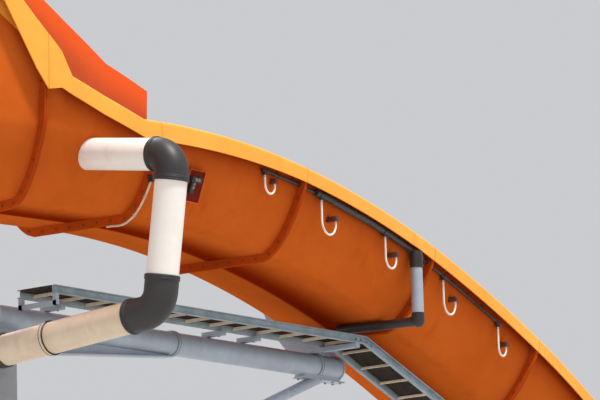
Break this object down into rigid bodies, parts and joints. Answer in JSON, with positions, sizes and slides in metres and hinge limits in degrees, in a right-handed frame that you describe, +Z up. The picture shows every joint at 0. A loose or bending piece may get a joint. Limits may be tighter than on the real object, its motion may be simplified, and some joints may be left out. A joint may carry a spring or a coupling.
{
  "type": "water slide tower",
  "caption": "Elevated open water slide: flanged orange flume bays with bright rims on steel columns, with inlet pipework, spray hoses and a service walkway under it.",
  "frame": {"origin": "centre of the underside of the main column's base plate, on the ground", "axes": "+X along the slide, downstream; +Y to the slide's left, away from the inlet pipework; +Z up"},
  "size_m": [12.1476, 4.7673, 11.1815],
  "materials": {
    "flume_laminate": "orange gel-coated fibreglass, lighter on the rims",
    "pressure_pipe": "white plastic pipe",
    "pipe_fitting": "dark grey moulded plastic",
    "galvanised_steel": "dull galvanised",
    "column_steel": "grey paint, matt",
    "deck_steel": "weathered grating",
    "spray_hose": "white flexible hose"
  },
  "bodies": {
    "root": {"flume_section_1": "flume_laminate", "flume_section_2": "flume_laminate", "flume_section_3": "flume_laminate", "flume_section_4": "flume_laminate", "flume_section_5": "flume_laminate", "flume_section_6": "flume_laminate", "inlet_upper_elbow": "pipe_fitting", "inlet_branch_pipe": "pressure_pipe", "inlet_riser_pipe": "pressure_pipe", "inlet_lower_elbow": "pipe_fitting", "inlet_feed_pipe": "pressure_pipe", "inlet_end_cap": "pipe_fitting", "wall_bracket": "flume_laminate", "drain_conduit": "galvanised_steel", "spray_hose_1": "spray_hose", "spray_hose_2": "spray_hose", "spray_hose_3": "spray_hose", "spray_hose_4": "spray_hose", "spray_hose_5": "spray_hose", "spray_nozzle_1": "pipe_fitting", "spray_nozzle_2": "pipe_fitting", "spray_nozzle_3": "pipe_fitting", "spray_nozzle_4": "pipe_fitting", "spray_nozzle_5": "pipe_fitting", "spray_line_upper": "pipe_fitting", "spray_manifold": "pipe_fitting", "spray_line_lower": "pipe_fitting", "supply_riser": "galvanised_steel", "supply_elbow": "pipe_fitting", "supply_cross_pipe": "pipe_fitting", "support_column": "column_steel", "support_arm_inner": "galvanised_steel", "support_arm_outer": "galvanised_steel", "arm_haunch": "galvanised_steel", "arm_head": "galvanised_steel", "arm_strut": "galvanised_steel", "walkway_near_rail": "galvanised_steel", "walkway_far_rail": "galvanised_steel", "ramp_near_rail": "galvanised_steel", "ramp_far_rail": "galvanised_steel", "walkway_deck": "deck_steel", "ramp_deck": "deck_steel", "walkway_bearer_1": "galvanised_steel", "walkway_bearer_2": "galvanised_steel", "walkway_bearer_3": "galvanised_steel", "walkway_bearer_4": "galvanised_steel", "trestle_head": "galvanised_steel", "trestle_leg_near": "column_steel", "trestle_leg_far": "column_steel", "trestle_tie": "column_steel", "upstream_saddle": "galvanised_steel", "upstream_column": "column_steel"}
  },
  "joints": []
}
